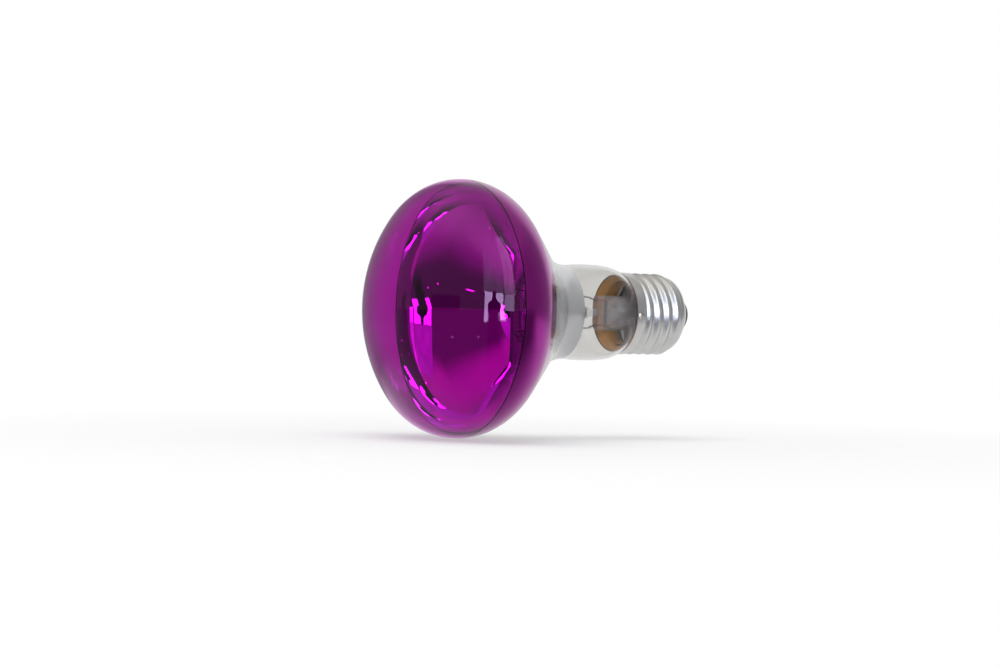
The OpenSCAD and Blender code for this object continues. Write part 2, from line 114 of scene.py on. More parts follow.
@dataclass
class Shape:
    """A closed surface: its points, its four-sided and three-sided faces, and a band number per face."""

    points: Array
    quads: Array
    tris: Array
    quad_bands: Array
    tri_bands: Array

    @classmethod
    def of_grid(cls, grid: Array, closed: bool = False, bands: Array | None = None) -> "Shape":
        """Joins a grid of points into a surface that runs round its columns.

        Neighbours in rows and columns make a face. A row whose points coincide is a pole, and its faces
        have three sides.

        Args:
            grid: Points by row and column, with x, y and z on the last axis.
            closed: Whether the last row joins the first.
            bands: A band number for each strip between two rows.

        Returns:
            The surface, with its faces turned outwards.
        """
        rows, columns = grid.shape[:2]
        index = np.arange(rows * columns).reshape(rows, columns)
        pole = np.ptp(grid, axis=1).max(axis=-1) < 1e-9
        index[pole] = index[pole][:, :1]
        low = index if closed else index[:-1]
        high = np.roll(index, -1, axis=0) if closed else index[1:]
        faces = placed(low, np.roll(low, -1, 1), np.roll(high, -1, 1), high).reshape(-1, 4)
        strips = np.zeros(len(low), int) if bands is None else np.asarray(bands)[: len(low)]
        strip = np.repeat(strips, columns)
        first, last = faces[:, 0] == faces[:, 1], faces[:, 2] == faces[:, 3]
        whole = ~(first | last)
        tris = np.concatenate([faces[first & ~last][:, [0, 2, 3]], faces[last & ~first][:, [0, 1, 2]]])
        tri_bands = np.concatenate([strip[first & ~last], strip[last & ~first]])
        used, compact = np.unique(np.concatenate([faces[whole].ravel(), tris.ravel()]), return_inverse=True)
        count = int(whole.sum()) * 4
        shape = cls(
            grid.reshape(-1, 3)[used],
            compact[:count].reshape(-1, 4),
            compact[count:].reshape(-1, 3),
            strip[whole],
            tri_bands,
        )
        return shape if shape.volume() > 0 else shape.turned()

    def volume(self) -> float:
        """Signed volume: a sixth of the sum of the box products of each triangle's corners."""
        tris = np.concatenate([self.quads[:, [0, 1, 2]], self.quads[:, [0, 2, 3]], self.tris])
        a, b, c = (self.points[tris[:, k]] for k in range(3))
        return float(np.einsum("ij,ij->i", a, np.cross(b, c)).sum() / 6)

    def turned(self) -> "Shape":
        """The same surface with every face turned round."""
        return Shape(self.points, self.quads[:, ::-1], self.tris[:, ::-1], self.quad_bands, self.tri_bands)

    def joined(self, other: "Shape") -> "Shape":
        """This surface and another as one."""
        n = len(self.points)
        return Shape(
            np.concatenate([self.points, other.points]),
            np.concatenate([self.quads, other.quads + n]),
            np.concatenate([self.tris, other.tris + n]),
            np.concatenate([self.quad_bands, other.quad_bands]),
            np.concatenate([self.tri_bands, other.tri_bands]),
        )


def revolved(outline: Array, steps: int, closed: bool = False, bands: Array | None = None) -> Shape:
    """Turns an outline about the lamp's axis.

    The outline's point (r, z) at angle a lies at (r cos a, r sin a, z).

    Args:
        outline: Points (r, z), from pole to pole or once round a ring.
        steps: Number of steps round the axis.
        closed: Whether the outline is a ring's section.
        bands: A band number for each stretch of the outline.

    Returns:
        The closed surface.
    """
    a = np.linspace(0, 2 * pi, steps, endpoint=False)
    r, z = outline[:, 0, None], outline[:, 1, None]
    return Shape.of_grid(placed(r * np.cos(a), r * np.sin(a), z), closed, bands)


def eased_path(points: list[list[float]], steps: int) -> Array:
    """Smooth line through points.

    Between two points the line is the cubic that leaves and reaches them along the mean direction of
    their neighbours.

    Args:
        points: Points that the line passes.
        steps: Steps between two points.

    Returns:
        Points of the line.
    """
    p = np.array(points, float)
    m = np.gradient(p, axis=0)
    t = np.linspace(0, 1, steps, endpoint=False)[None, :, None]
    a, b, u, v = p[:-1, None], p[1:, None], m[:-1, None], m[1:, None]
    line = (
        (2 * t**3 - 3 * t**2 + 1) * a
        + (t**3 - 2 * t**2 + t) * u
        + (3 * t**2 - 2 * t**3) * b
        + (t**3 - t**2) * v
    )
    return np.concatenate([line.reshape(-1, 3), p[-1:]])


def drawn(path: Array, radius: float, sides: int, normal: Array) -> Shape:
    """Carries a circle along a path.

    The circle at each point stands square to the path, on the part of the given normal that is square
    to it, and its centre closes both ends.

    Args:
        path: Points of the wire's middle line.
        radius: Radius of the wire.
        sides: Number of sides.
        normal: A direction that is never along the path, or one for each point.

    Returns:
        The closed wire.
    """
    t = np.gradient(path, axis=0)
    t /= np.linalg.norm(t, axis=1, keepdims=True)
    n = normal - t * (t * normal).sum(axis=1, keepdims=True)
    n /= np.linalg.norm(n, axis=1, keepdims=True)
    b = np.cross(t, n)
    a = np.linspace(0, 2 * pi, sides, endpoint=False)[None, :, None]
    rings = path[:, None] + radius * (np.cos(a) * n[:, None] + np.sin(a) * b[:, None])
    ends = [np.repeat(path[i][None, None], sides, axis=1) for i in (0, -1)]
    return Shape.of_grid(np.concatenate([ends[0], rings, ends[1]]))


# Finishes


class Tree:
    """One material or surround, with short calls that add to its node tree.

    A material's patterns read Object coordinates in mm, and the surround's read the direction looked in.
    """

    def __init__(self, name: str, surround: bool = False) -> None:
        """Starts empty.

        Args:
            name: Name of the material or surround.
            surround: Whether it is the surround.
        """
        self.surround = surround
        self.holder = bpy.data.worlds.new(name) if surround else bpy.data.materials.new(name)
        self.holder.use_nodes = True
        self.tree = self.holder.node_tree
        self.tree.nodes.clear()
        coordinates = self.tree.nodes.new("ShaderNodeTexCoord").outputs
        scale = (1, 1, 1) if surround else (1000,) * 3
        place = coordinates["Generated" if surround else "Object"]
        self.place = self.vector("MULTIPLY", place, scale)

    def node(self, kind: str, sockets: dict | None = None, **settings: object) -> bpy.types.Node:
        """Adds a node.

        Args:
            kind: Blender's name for the node.
            sockets: Values or links of its inputs, by name or number.
            settings: Attributes of the node.

        Returns:
            The node.
        """
        made = self.tree.nodes.new(kind)
        for name, value in settings.items():
            setattr(made, name, value)
        for name, value in (sockets or {}).items():
            if isinstance(value, Socket):
                self.tree.links.new(value, made.inputs[name])
            elif isinstance(value, tuple) and len(value) == 3 and made.inputs[name].type == "RGBA":
                made.inputs[name].default_value = (*value, 1.0)
            else:
                made.inputs[name].default_value = value
        return made

    def vector(self, operation: str, a: Socket, b: Socket | Triple = (0, 0, 0),
               output: str = "Vector") -> Socket:
        """One step of arithmetic on two vectors."""
        return self.node("ShaderNodeVectorMath", {0: a, 1: b}, operation=operation).outputs[output]

    def noise(self, per_mm: float, detail: float = 2.0, stretch: Triple = (1, 1, 1)) -> Socket:
        """Fractal noise from 0 to 1, with its finer layers, on a place whose axes may be stretched."""
        place = self.vector("MULTIPLY", self.place, stretch)
        return self.node("ShaderNodeTexNoise", {"Vector": place, "Scale": per_mm, "Detail": detail}).outputs[0]

    def cells(self, per_mm: float) -> Socket:
        """Distance to the nearest of scattered points, per_mm of them in a millimetre."""
        return self.node("ShaderNodeTexVoronoi", {"Vector": self.place, "Scale": per_mm}).outputs["Distance"]

    def span(self, value: Socket, low: float, high: float, to_low: float = 0.0, to_high: float = 1.0) -> Socket:
        """Maps a value smoothly from the span of low to high to the span of to_low to to_high."""
        sockets = {0: value, 1: low, 2: high, 3: to_low, 4: to_high}
        return self.node("ShaderNodeMapRange", sockets, interpolation_type="SMOOTHSTEP").outputs[0]

    def between(self, value: Socket, edges: Edges) -> Socket:
        """1 between the middle two of four edges, and 0 outside the outer two."""
        return self.math("SUBTRACT", self.span(value, *edges[:2]), self.span(value, *edges[2:]))

    def math(self, operation: str, a: Socket | float, b: Socket | float = 0.0) -> Socket:
        """One step of arithmetic on two values."""
        return self.node("ShaderNodeMath", {0: a, 1: b}, operation=operation).outputs[0]

    def blend(self, part: Socket, a: Socket | Colour, b: Socket | Colour) -> Socket:
        """Colour between a and b, by part."""
        return self.node("ShaderNodeMix", {0: part, 6: a, 7: b}, data_type="RGBA").outputs[2]

    def along(self, place: Socket, direction: Triple) -> Socket:
        """How far a place lies along a direction: their dot product."""
        return self.vector("DOT_PRODUCT", place, direction, "Value")

    def bearing(self, place: Socket) -> Socket:
        """Angle of a place about the vertical, in degrees from -Y towards +X."""
        x, y, _ = self.node("ShaderNodeSeparateXYZ", {0: place}).outputs
        return self.math("MULTIPLY", self.math("ARCTAN2", x, self.math("MULTIPLY", y, -1.0)), 180 / pi)

    def steps(self, value: Socket, start: float, changes: tuple[Triple, ...]) -> Socket:
        """A level that changes smoothly along a value.

        Args:
            value: The value.
            start: Level before the first change.
            changes: For each change, where it begins, where it ends, and how much it adds.

        Returns:
            The level.
        """
        level = start
        for low, high, change in changes:
            level = self.math("ADD", self.span(value, low, high, 0.0, change), level)
        return level

    def ray(self, kind: str) -> Socket:
        """1 for rays of a kind, such as Camera, and 0 for all others."""
        return self.node("ShaderNodeLightPath").outputs[f"Is {kind} Ray"]

    def mirrored(self) -> Socket:
        """1 for what a mirror or glass shows, and 0 for what the camera sees itself."""
        return self.math("MAXIMUM", self.ray("Glossy"), self.ray("Transmission"))

    def glow(self, colour: Socket | Colour, strength: Socket | float = 1.0) -> Socket:
        """Shader that shines with a colour."""
        kind = "ShaderNodeBackground" if self.surround else "ShaderNodeEmission"
        return self.node(kind, {"Color": colour, "Strength": strength}).outputs[0]

    def bump(self, height: Socket, depth_mm: float, before: Socket | None = None) -> Socket:
        """Normal of a rough surface.

        Args:
            height: Height from 0 to 1.
            depth_mm: Height of 1, in mm.
            before: Normal of a coarser bump.

        Returns:
            The normal.
        """
        sockets = {"Height": height, "Distance": depth_mm * MM, "Strength": 1.0}
        if before is not None:
            sockets["Normal"] = before
        return self.node("ShaderNodeBump", sockets).outputs[0]

    def surface(self, **sockets: object) -> Socket:
        """A Principled shader, by its sockets' names with spaces as underscores."""
        named = {name.replace("_", " "): value for name, value in sockets.items()}
        return self.node("ShaderNodeBsdfPrincipled", named).outputs[0]

    def mixed(self, part: Socket, a: Socket, b: Socket) -> Socket:
        """Shader between a and b, by part."""
        return self.node("ShaderNodeMixShader", {0: part, 1: a, 2: b}).outputs[0]

    def finished(self, shader: Socket) -> bpy.types.Material | bpy.types.World:
        """The material or surround, with this shader on it."""
        self.node("ShaderNodeOutputWorld" if self.surround else "ShaderNodeOutputMaterial", {"Surface": shader})
        return self.holder


@dataclass(frozen=True)
class Glass:
    """Clear or lacquered glass that lets the lamps through, with faint waves from blowing.

    Milk is the share of light that it scatters.
    """

    name: str
    colour: Colour
    roughness: float = 0.0
    wave_mm: float = 0.004
    waves_per_mm: float = 0.08
    unevenness: float = 0.06
    ior: float = 1.5
    milk: float = 0.0

    def made(self) -> bpy.types.Material:
        """Builds the material."""
        t = Tree(self.name)
        thin = tuple(c * (1 - self.unevenness) for c in self.colour)
        colour = t.blend(t.noise(0.05, 3), thin, self.colour)
        waves = t.bump(t.noise(self.waves_per_mm, 1), self.wave_mm)
        glass = t.surface(
            Base_Color=colour, Roughness=self.roughness, IOR=self.ior,
            Transmission_Weight=1.0 - self.milk, Normal=waves
        )
        through = t.node("ShaderNodeBsdfTransparent", {"Color": tuple(sqrt(c) for c in self.colour)}).outputs[0]
        return t.finished(t.mixed(t.ray("Shadow"), glass, through))


@dataclass(frozen=True)
class Metal:
    """Metal with its own grain: colour, roughness and height vary with a noise that may be stretched."""

    name: str
    colour: Colour
    dull: Colour
    roughness: Pair
    grain_per_mm: float = 2.0
    stretch: Triple = (1, 1, 1)
    grain_mm: float = 0.01
    patch_per_mm: float = 0.15

    def made(self) -> bpy.types.Material:
        """Builds the material."""
        t = Tree(self.name)
        grain = t.noise(self.grain_per_mm, 4, self.stretch)
        patch = t.noise(self.patch_per_mm, 4)
        return t.finished(t.surface(
            Base_Color=t.blend(t.span(patch, 0.4, 0.65), self.colour, self.dull),
            Metallic=1.0,
            Roughness=t.span(t.math("ADD", t.math("MULTIPLY", grain, 0.5), t.math("MULTIPLY", patch, 0.5)),
                             0.35, 0.65, *self.roughness),
            Normal=t.bump(grain, self.grain_mm),
        ))


@dataclass(frozen=True)
class BowlOutside:
    """Silvered bowl seen through its own glass, with purple lacquer down to an uneven edge."""

    name: str = "silvered bowl outside"
    lacquer: Colour = (0.36, 0.012, 0.30)
    silver: Colour = (0.66, 0.665, 0.68)
    edge_z: float = 68.7

    def made(self) -> bpy.types.Material:
        """Builds the material: which side of the edge a point is on comes from its height and a noise."""
        t = Tree(self.name)
        along = t.node("ShaderNodeSeparateXYZ", {0: t.place}).outputs[1]
        wander = t.math("MULTIPLY", t.noise(0.12, 3), 0.9)
        bare = t.span(t.math("ADD", along, wander), -self.edge_z + 0.35, -self.edge_z + 0.65)
        colour = t.blend(bare, self.lacquer, t.blend(t.noise(0.08, 3), self.silver, (0.61, 0.615, 0.63)))
        inner = t.node("ShaderNodeNewGeometry").outputs["Backfacing"]
        colour = t.blend(inner, colour, (0.88, 0.88, 0.89))
        return t.finished(t.surface(
            Base_Color=colour,
            Metallic=t.span(bare, 0.0, 1.0, 1.0, 0.4),
            Roughness=t.span(t.noise(0.2, 4), 0.3, 0.7, 0.16, 0.24),
            Coat_Weight=0.35,
            Coat_Roughness=0.03,
            Coat_IOR=1.4,
            Normal=t.bump(t.noise(0.07, 2), 0.02),
        ))


@dataclass(frozen=True)
class Cement:
    """Baked cement: brown, granular, with pale grains and darker scorched patches."""

    name: str = "cap cement"

    def made(self) -> bpy.types.Material:
        """Builds the material."""
        t = Tree(self.name)
        body = t.blend(t.noise(0.25, 5), (0.84, 0.34, 0.03), (0.98, 0.53, 0.09))
        body = t.blend(t.span(t.noise(0.12, 3), 0.55, 0.75), body, (0.40, 0.17, 0.04))
        grains = t.span(t.cells(3.0), 0.10, 0.22, 1.0, 0.0)
        colour = t.blend(t.math("MULTIPLY", grains, 0.45), body, (0.90, 0.62, 0.28))
        rough = t.bump(t.noise(1.2, 6), 0.12)
        return t.finished(t.surface(
            Base_Color=colour, Roughness=t.span(t.noise(2.0, 3), 0.3, 0.7, 0.75, 0.95),
            Specular_IOR_Level=0.3, Normal=t.bump(grains, 0.03, rough),
        ))


@dataclass(frozen=True)
class RolledAluminium:
    """Satin aluminium of the cap: lines round it from rolling, fine scratches, and duller patches."""

    name: str = "rolled aluminium"
    colour: Colour = (0.66, 0.66, 0.65)
    dull: Colour = (0.60, 0.60, 0.59)

    def made(self) -> bpy.types.Material:
        """Builds the material."""
        t = Tree(self.name)
        lines = t.noise(5.0, 3, (0.04, 1.0, 0.04))
        scratches = t.span(t.noise(1.6, 4, (0.25, 2.2, 0.25)), 0.60, 0.72)
        patch = t.noise(0.16, 4)
        colour = t.blend(t.span(patch, 0.42, 0.66), self.colour, self.dull)
        colour = t.blend(t.math("MULTIPLY", scratches, 0.15), colour, (0.58, 0.58, 0.57))
        rough = t.span(t.math("ADD", t.math("MULTIPLY", lines, 0.4), t.math("MULTIPLY", patch, 0.6)),
                       0.36, 0.64, 0.27, 0.35)
        return t.finished(t.surface(
            Base_Color=colour, Metallic=1.0, Roughness=rough,
            Normal=t.bump(scratches, -0.002, t.bump(lines, 0.003)),
        ))


@dataclass(frozen=True)
class BlackGlass:
    """Pressed glass of the cap's end: glossy, with flow lines and a film of dust."""

    name: str = "pressed glass"
    colour: Colour = (0.05, 0.05, 0.055)
    dusty: Colour = (0.13, 0.13, 0.13)

    def made(self) -> bpy.types.Material:
        """Builds the material."""
        t = Tree(self.name)
        dust = t.span(t.noise(0.6, 5), 0.45, 0.70)
        return t.finished(t.surface(
            Base_Color=t.blend(dust, self.colour, self.dusty), IOR=1.52,
            Roughness=t.span(t.noise(0.9, 4), 0.3, 0.7, 0.10, 0.32), Normal=t.bump(t.noise(0.35, 3), 0.05),
        ))


class Finish(Enum):
    """Every finish of the lamp."""

    DOME = Glass("purple lacquered glass", (0.62, 0.030, 0.57), wave_mm=0.004, ior=1.33)
    NECK = Glass("clear neck glass", (0.87, 0.865, 0.85), wave_mm=0.012, ior=1.30)
    STEM = Glass("stem glass", (0.90, 0.90, 0.88), roughness=0.22, wave_mm=0.03, waves_per_mm=0.4,
                 ior=1.10, milk=0.13)
    # The button's near-black tint is painted shade.
    BUTTON = Glass("button glass painted dark as shade", (0.08, 0.09, 0.12))
    BOWL = BowlOutside()
    MIRROR = Metal("bowl mirror", (0.90, 0.90, 0.91), (0.86, 0.86, 0.87), (0.015, 0.03), 0.1, grain_mm=0.0)
    CEMENT = Cement()
    ALUMINIUM = RolledAluminium()
    INSULATOR = BlackGlass()
    BRASS = Metal("contact brass", (0.78, 0.60, 0.30), (0.55, 0.42, 0.24), (0.25, 0.45), 1.5)
    SOLDER = Metal("solder", (0.66, 0.67, 0.68), (0.46, 0.47, 0.48), (0.25, 0.5), 1.2, grain_mm=0.04)
    WELD = Metal("weld bead", (0.72, 0.68, 0.58), (0.20, 0.17, 0.13), (0.15, 0.35), 3.0,
                 grain_mm=0.08, patch_per_mm=0.9)
    NICKEL = Metal("drawn nickel", (0.34, 0.33, 0.31), (0.20, 0.19, 0.18), (0.25, 0.4), 6.0)
    MOLYBDENUM = Metal("molybdenum wire", (0.55, 0.54, 0.53), (0.36, 0.35, 0.35), (0.3, 0.45), 6.0)
    TUNGSTEN = Metal("tungsten coil", (0.40, 0.40, 0.41), (0.24, 0.24, 0.25), (0.35, 0.5), 6.0)
    COPPER = Metal("copper wire", (0.80, 0.45, 0.30), (0.42, 0.22, 0.15), (0.2, 0.4), 5.0)
    SEAL = Metal("copper clad seal wire", (0.60, 0.22, 0.14), (0.36, 0.12, 0.08), (0.3, 0.45), 5.0)


class Paintbox:
    """Makes each finish once."""

    def __init__(self) -> None:
        """Starts with no finish made."""
        self.made: dict[Finish, bpy.types.Material] = {}

    def material(self, finish: Finish) -> bpy.types.Material:
        """The finish's material, made when it is first asked for."""
        if finish not in self.made:
            self.made[finish] = finish.value.made()
        return self.made[finish]


def linked(name: str, data: bpy.types.ID) -> bpy.types.Object:
    """Puts a mesh, lamp or camera into the scene."""
    made = bpy.data.objects.new(name, data)
    bpy.context.scene.collection.objects.link(made)
    return made


@dataclass
class Bench:
    """Turns shapes into pieces that ride on the lamp."""

    paint: Paintbox = field(default_factory=Paintbox)

    def piece(self, name: str, shape: Shape, finishes: list[Finish], nodes: tuple[str, ...],
              sharp: float = 40.0) -> bpy.types.Object:
        """Makes one visible piece.

        Args:
            name: Name of the piece.
            shape: Its surface, in mm on the lamp's own axes.
            finishes: A finish for each band number.
            nodes: CAD nodes that it stands for.
            sharp: Angle between faces, in degrees, over which an edge is sharp.

        Returns:
            The piece.
        """
        mesh = bpy.data.meshes.new(name)
        mesh.from_pydata(laid_down(shape.points).tolist(), [], shape.quads.tolist() + shape.tris.tolist())
        bands = np.concatenate([shape.quad_bands, shape.tri_bands]).astype(np.int32)
        mesh.polygons.foreach_set("material_index", bands)
        for finish in finishes:
            mesh.materials.append(self.paint.material(finish))
        mesh.shade_smooth()
        mesh.set_sharp_from_angle(angle=radians(sharp))
        mesh.update()
        made = linked(name, mesh)
        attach(made, "root")
        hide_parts(*nodes)
        LOG.info("%s: %d points, %d faces", name, len(mesh.vertices), len(mesh.polygons))
        return made

    def dress(self, node: str, finish: Finish) -> None:
        """Gives a CAD node that stays in view its finish."""
        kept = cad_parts[node]
        kept.data.materials.clear()
        kept.data.materials.append(self.paint.material(finish))
        LOG.info("%s: %s", node, finish.name)


# The lamp


@dataclass
class Outline:
    """Side of the blown bulb: arcs that each run smoothly into the next, from the dome to the neck's end."""

    bulb_r: float = 40.0
    length: float = 112.0
    crown_r: float = 51.6
    shoulder_r: float = 17.8
    cone_part: float = 0.488
    throat_r: float = 17.0
    waist_r: float = 14.9
    waist_z: float = 47.0
    belly_max_r: float = 15.25
    belly_z: float = 38.5
    belly_r: float = 60.0
    turn_z: float = 33.0
    turn_r: float = 14.5
    seal_r: float = 11.0
    seal_z: float = 19.5
    heel_r: float = 1.4
    glass_t: float = 0.8

    def side(self, depth: float = 0.0) -> Array:
        """Points (r, z) of the side.

        Args:
            depth: Distance inside the outer skin.

        Returns:
            Points from the dome's top to the neck's end.
        """
        crown_z = self.length - self.crown_r
        lean = self.bulb_r - self.shoulder_r
        equator_z = crown_z + sqrt((self.crown_r - self.shoulder_r) ** 2 - lean**2)
        crown_a = degrees(atan2(lean, equator_z - crown_z))
        bowl_h, throat_in = equator_z - self.waist_z, self.bulb_r - self.waist_r - self.throat_r
        cone_l = self.cone_part * bowl_h
        bowl_r = (throat_in**2 + bowl_h**2 - cone_l**2 - self.throat_r**2) / (2 * (self.throat_r + throat_in))
        bowl = (self.bulb_r - bowl_r, equator_z)
        throat = (self.waist_r + self.throat_r, self.waist_z)
        step = (throat[0] - bowl[0], throat[1] - bowl[1])
        bowl_a = degrees(atan2(-step[1], step[0]) - acos((bowl_r + self.throat_r) / hypot(*step)))
        neck = (self.belly_max_r - self.waist_r, self.waist_z - self.belly_z)
        neck_sum = (neck[0] ** 2 + neck[1] ** 2) / (2 * neck[0])
        waist_a = degrees(asin(neck[1] / neck_sum))
        upper_r = neck_sum - self.throat_r
        turn_a = asin((self.belly_z - self.turn_z) / self.belly_r)
        turn = (
            self.belly_max_r - self.belly_r + (self.belly_r - self.turn_r) * cos(turn_a),
            self.belly_z - (self.belly_r - self.turn_r) * sin(turn_a),
        )
        seal_a = acos((self.seal_r + self.heel_r - turn[0]) / (self.turn_r + self.heel_r))
        heel = (self.seal_r + self.heel_r, turn[1] - (self.turn_r + self.heel_r) * sin(seal_a))
        turn_a, seal_a = degrees(turn_a), degrees(seal_a)
        d = depth
        parts = [
            arc((0, crown_z), self.crown_r - d, 90, 90 - crown_a, 44),
            arc((lean, equator_z), self.shoulder_r - d, 90 - crown_a, 0, 36)[1:],
            arc(bowl, bowl_r - d, 0, -bowl_a, 36)[1:],
            arc(throat, self.throat_r + d, 180 - bowl_a, 180 + waist_a, 36),
            arc((self.belly_max_r - upper_r, self.belly_z), upper_r - d, waist_a, 0, 8)[1:],
            arc((self.belly_max_r - self.belly_r, self.belly_z), self.belly_r - d, 0, -turn_a, 8)[1:],
            arc(turn, self.turn_r - d, -turn_a, -seal_a, 20)[1:],
            arc(heel, self.heel_r + d, 180 - seal_a, 180, 8)[1:],
            np.array([[self.seal_r - d, self.seal_z]]),
        ]
        return np.concatenate(parts)

    def radius(self, z: Array, depth: float = 0.0) -> Array:
        """Radius of the neck at heights z below the waist."""
        side = self.side(depth)
        side = side[side[:, 1] < self.waist_z][::-1]
        return np.interp(z, side[:, 1], side[:, 0])


@dataclass
class Envelope:
    """The blown bulb: lacquered dome, silvered bowl and clear neck in one closed wall."""

    outline: Outline
    mirror_front_z: float = 85.6
    mirror_back_z: float = 48.3
    steps: int = 176

    def build(self, bench: Bench) -> None:
        """Makes the wall, with a band of its own for each coating."""
        outer, inner = self.cut(self.outline.side()), self.cut(self.outline.side(self.outline.glass_t)[::-1])
        loop = np.concatenate([outer, inner])
        middle = (loop[1:, 1] + loop[:-1, 1]) / 2
        inside = np.arange(len(middle)) >= len(outer)
        dome, neck = middle > self.mirror_front_z, middle < self.mirror_back_z
        bands = np.select([dome, neck, inside], [0, 3, 2], 1)
        bench.piece(
            "envelope_glass",
            revolved(loop, self.steps, bands=bands),
            [Finish.DOME, Finish.BOWL, Finish.MIRROR, Finish.NECK],
            ("envelope",),
        )

    def cut(self, side: Array) -> Array:
        """Adds the side's points at the mirror's front and back edges, on the line between their neighbours."""
        for edge in (self.mirror_front_z, self.mirror_back_z):
            after = int(np.flatnonzero((side[:-1, 1] - edge) * (side[1:, 1] - edge) < 0)[0])
            (r0, z0), (r1, z1) = side[after], side[after + 1]
            part = (edge - z0) / (z1 - z0)
            side = np.insert(side, after + 1, [r0 + part * (r1 - r0), edge], axis=0)
        return side


@dataclass
class Stem:
    """Flared glass stem, pressed flat round the leads, with exhaust tube, support rod and button."""

    outline: Outline
    tube_r: float = 5.5
    wall: float = 0.9
    press_z: float = 34.5
    press_h: float = 3.7
    press_t: float = 3.4
    pinch_h: float = 4.3
    root_z: float = 29.0
    exhaust_r: float = 1.9
    exhaust_bore_r: float = 1.1
    exhaust_l: float = 16.5
    rod_r: float = 1.2
    rod_l: float = 2.7
    button_r: float = 1.95
    button_l: float = 3.2
    # Length of the button's top that is painted dark as shade.
    button_shade_l: float = 1.3
    seat: float = 0.02

    def half_press(self, z: Array) -> Array:
        """Half the stem's thickness: the tube's radius, eased into half the press's over the pinch."""
        flat_z = self.press_z - self.press_h
        return self.press_t / 2 + (self.tube_r - self.press_t / 2) * eased((flat_z - z) / self.pinch_h)

    def squeezed(self, outline: Array, depth: float) -> Array:
        """Turns an outline into the stem's squeezed form.

        A point (r, z) at angle a lies at (t x, r y, z), where x and y are cos a and sin a raised to a
        power that falls from 1 to 0.55 as the tube is squeezed, and t is the smaller of the radius and
        half the press's thickness.

        Args:
            outline: Points (r, z).
            depth: Distance inside the stem's outer skin.

        Returns:
            A grid of points.
        """
        a = np.linspace(0, 2 * pi, 96, endpoint=False)[None]
        r, z = outline[:, 0, None], outline[:, 1, None]
        thick = np.minimum(r, self.half_press(z) - depth)
        power = 1 - 0.45 * eased((1 - thick / np.maximum(r, 1e-6)) * 1.6) * (r > 0.5)
        x = np.sign(np.cos(a)) * np.abs(np.cos(a)) ** power
        y = np.sign(np.sin(a)) * np.abs(np.sin(a)) ** power
        return placed(thick * x, r * y, z)

    def build(self, bench: Bench) -> None:
        """Makes the stem, the exhaust tube and the rod."""
        o, wall = self.outline, self.wall
        flare = (o.seal_r - o.glass_t, o.seal_z + o.seal_r - o.glass_t - self.tube_r)
        flare_r = flare[0] - self.tube_r
        edge = 0.5
        outer = np.concatenate([
            [[o.seal_r - 0.3, o.seal_z - wall], [o.seal_r, o.seal_z - wall + 0.3], [o.seal_r, o.seal_z]],
            arc(flare, flare_r, -90, -180, 20),
            placed(self.tube_r, np.linspace(flare[1] + 0.3, self.press_z - edge, 24)),
            arc((self.tube_r - edge, self.press_z - edge), edge, 0, 90, 6)[1:],
            [[self.tube_r / 2, self.press_z], [0, self.press_z]],
        ])
        inner = np.concatenate([
            [[0, self.root_z], [self.tube_r - wall - 1.2, self.root_z]],
            arc((self.tube_r - wall - 1.2, self.root_z - 1.2), 1.2, 90, 0, 6)[1:],
            placed(self.tube_r - wall, np.linspace(self.root_z - 1.6, flare[1] + 0.3, 16)),
            arc(flare, flare_r + wall, -180, -90, 20),
            [[o.seal_r - 0.3, o.seal_z - wall]],
        ])
        grid = np.concatenate([self.squeezed(inner, wall), self.squeezed(outer, 0.0)])
        bench.piece("stem_glass", Shape.of_grid(grid), [Finish.STEM], ("flare_stem",), 50)

        low_z = self.root_z - self.exhaust_l
        tube = np.concatenate([
            [[self.exhaust_bore_r, self.root_z - self.seat], [self.exhaust_bore_r, low_z + 4],
             [0.5, low_z + 2.6], [0, low_z + 2], [0, low_z]],
            arc((0.1, low_z + 0.6), 0.6, -80, -10, 6),
            [[self.exhaust_r, low_z + 4], [self.exhaust_r, self.root_z - self.seat]],
        ])
        tube = np.concatenate([tube[4:], tube[:4]])
        bench.piece("exhaust_tube_glass", revolved(tube, 40), [Finish.STEM], ("exhaust_tube",))

        z0, z1 = self.press_z + self.rod_l, self.press_z + self.rod_l + self.button_l
        round_r = self.button_l / 2
        rod = np.concatenate([
            [[0, self.press_z], [self.rod_r, self.press_z]],
            arc((self.rod_r + 0.5, z0 - 0.1), 0.5, 180, 120, 4),
            arc((self.button_r - round_r, z0 + round_r), round_r, -62, 90, 18),
            [[0, z1]],
        ])
        # The button's top takes the near-black glass as painted shade.
        dark = (rod[1:, 1] + rod[:-1, 1]) / 2 > z1 - self.button_shade_l
        bench.piece(
            "support_rod_glass", revolved(rod, 48, bands=dark.astype(int)), [Finish.STEM, Finish.BUTTON],
            ("support_rod",),
        )


